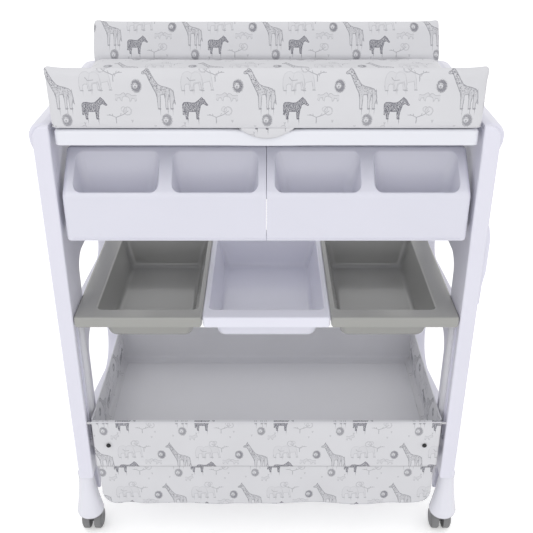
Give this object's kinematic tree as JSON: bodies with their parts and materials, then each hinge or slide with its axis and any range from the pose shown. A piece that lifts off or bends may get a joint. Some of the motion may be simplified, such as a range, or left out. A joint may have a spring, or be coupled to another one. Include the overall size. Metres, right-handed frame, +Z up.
{
  "type": "changing table",
  "caption": "Rolling baby changing table with a hinged padded top over a bath, front organizers, pull-out trays and a printed fabric basket.",
  "frame": {"origin": "on the floor, at the middle of the footprint", "axes": "+Z up, +X to the right as seen from the front, and the front faces -Y"},
  "size_m": [0.84, 0.5, 1.05],
  "materials": {
    "frame_plastic": "smooth moulded white with a faint cool tint",
    "bath_plastic": "glossy moulded white",
    "tray_grey": "glossy warm grey",
    "tray_white": "glossy white",
    "printed_fabric": "coated white cloth with a small grey animal print",
    "plain_fabric": "plain white coated cloth",
    "board_laminate": "satin wipe-clean white",
    "white_tube": "white powder coat",
    "zinc_steel": "bright zinc",
    "caster_grey": "satin grey nylon",
    "wheel_grey": "satin grey wheel",
    "plug_rubber": "grey rubber",
    "snap_black": "satin black"
  },
  "bodies": {
    "frame": {"side_frame_left": "frame_plastic", "side_frame_right": "frame_plastic", "shoulder_cap_left": "frame_plastic", "shoulder_cap_right": "frame_plastic", "leg_tube_left": "white_tube", "leg_tube_right": "white_tube", "front_upper_tube": "white_tube", "rear_upper_tube": "white_tube", "front_lower_tube": "white_tube", "rear_lower_tube": "white_tube", "tray_mid_tube": "white_tube", "tray_rear_tube": "white_tube", "screw_caps": "frame_plastic", "side_hook": "frame_plastic", "bath_tub": "bath_plastic", "drain_outlet": "tray_white", "organizer_brackets": "zinc_steel", "tray_runner_left": "white_tube", "tray_runner_right": "white_tube", "tray_runners_mid": "white_tube", "hinge_rail": "white_tube", "hinge_pins": "zinc_steel", "base_board": "board_laminate", "basket_front": "printed_fabric", "basket_skirt": "printed_fabric", "basket_left": "printed_fabric", "basket_right": "printed_fabric", "basket_back": "plain_fabric", "guard_rod": "white_tube", "snap_buttons": "snap_black", "foot_front_left": "frame_plastic", "foot_front_right": "frame_plastic", "foot_rear_left": "frame_plastic", "foot_rear_right": "frame_plastic"},
    "changing_top": {"mat_board": "board_laminate", "mat_pad": "printed_fabric", "bolster_front": "printed_fabric", "bolster_rear": "printed_fabric", "pull_tab": "printed_fabric", "hinge_leaves": "zinc_steel"},
    "drain_plug": {"drain_plug": "plug_rubber"},
    "organizer_left": {"organizer_left": "bath_plastic"},
    "organizer_right": {"organizer_right": "bath_plastic"},
    "tray_left": {"tray_left": "tray_grey"},
    "tray_center": {"tray_center": "tray_white"},
    "tray_right": {"tray_right": "tray_grey"},
    "caster_front_left": {"caster_front_left": "caster_grey", "axle_front_left": "zinc_steel"},
    "wheels_front_left": {"wheels_front_left": "wheel_grey"},
    "caster_front_right": {"caster_front_right": "caster_grey", "axle_front_right": "zinc_steel"},
    "wheels_front_right": {"wheels_front_right": "wheel_grey"},
    "caster_rear_left": {"caster_rear_left": "caster_grey", "axle_rear_left": "zinc_steel"},
    "wheels_rear_left": {"wheels_rear_left": "wheel_grey"},
    "caster_rear_right": {"caster_rear_right": "caster_grey", "axle_rear_right": "zinc_steel"},
    "wheels_rear_right": {"wheels_rear_right": "wheel_grey"},
    "brake_left": {"brake_lever_left": "caster_grey"},
    "brake_right": {"brake_lever_right": "caster_grey"}
  },
  "joints": [
    {"name": "changing_top_lift", "type": "hinge", "parent": "frame", "child": "changing_top", "pos_m": [0, 0.207, 0.95], "axis": [-1, 0, 0], "range_deg": [0, 100]},
    {"name": "drain_plug_lift", "type": "slide", "parent": "frame", "child": "drain_plug", "axis": [0, 0, 1], "range_m": [0, 0.03]},
    {"name": "tray_left_pull", "type": "slide", "parent": "frame", "child": "tray_left", "axis": [0, -1, 0], "range_m": [0, 0.25]},
    {"name": "tray_center_pull", "type": "slide", "parent": "frame", "child": "tray_center", "axis": [0, -1, 0], "range_m": [0, 0.25]},
    {"name": "tray_right_pull", "type": "slide", "parent": "frame", "child": "tray_right", "axis": [0, -1, 0], "range_m": [0, 0.25]},
    {"name": "organizer_left_pull", "type": "slide", "parent": "frame", "child": "organizer_left", "axis": [0, -1, 0], "range_m": [0, 0.066]},
    {"name": "organizer_right_pull", "type": "slide", "parent": "frame", "child": "organizer_right", "axis": [0, -1, 0], "range_m": [0, 0.066]},
    {"name": "swivel_front_left", "type": "hinge", "parent": "frame", "child": "caster_front_left", "pos_m": [-0.391, -0.221, 0.07], "axis": [0, 0, 1], "continuous": true},
    {"name": "swivel_front_right", "type": "hinge", "parent": "frame", "child": "caster_front_right", "pos_m": [0.391, -0.221, 0.07], "axis": [0, 0, 1], "continuous": true},
    {"name": "swivel_rear_left", "type": "hinge", "parent": "frame", "child": "caster_rear_left", "pos_m": [-0.391, 0.212, 0.07], "axis": [0, 0, 1], "continuous": true},
    {"name": "swivel_rear_right", "type": "hinge", "parent": "frame", "child": "caster_rear_right", "pos_m": [0.391, 0.212, 0.07], "axis": [0, 0, 1], "continuous": true},
    {"name": "roll_front_left", "type": "hinge", "parent": "caster_front_left", "child": "wheels_front_left", "pos_m": [-0.391, -0.208, 0.025], "axis": [1, 0, 0], "continuous": true},
    {"name": "roll_front_right", "type": "hinge", "parent": "caster_front_right", "child": "wheels_front_right", "pos_m": [0.391, -0.208, 0.025], "axis": [1, 0, 0], "continuous": true},
    {"name": "roll_rear_left", "type": "hinge", "parent": "caster_rear_left", "child": "wheels_rear_left", "pos_m": [-0.391, 0.225, 0.025], "axis": [1, 0, 0], "continuous": true},
    {"name": "roll_rear_right", "type": "hinge", "parent": "caster_rear_right", "child": "wheels_rear_right", "pos_m": [0.391, 0.225, 0.025], "axis": [1, 0, 0], "continuous": true},
    {"name": "brake_left_press", "type": "hinge", "parent": "caster_front_left", "child": "brake_left", "pos_m": [-0.391, -0.208, 0.025], "axis": [-1, 0, 0], "range_deg": [0, 12]},
    {"name": "brake_right_press", "type": "hinge", "parent": "caster_front_right", "child": "brake_right", "pos_m": [0.391, -0.208, 0.025], "axis": [-1, 0, 0], "range_deg": [0, 12]}
  ]
}
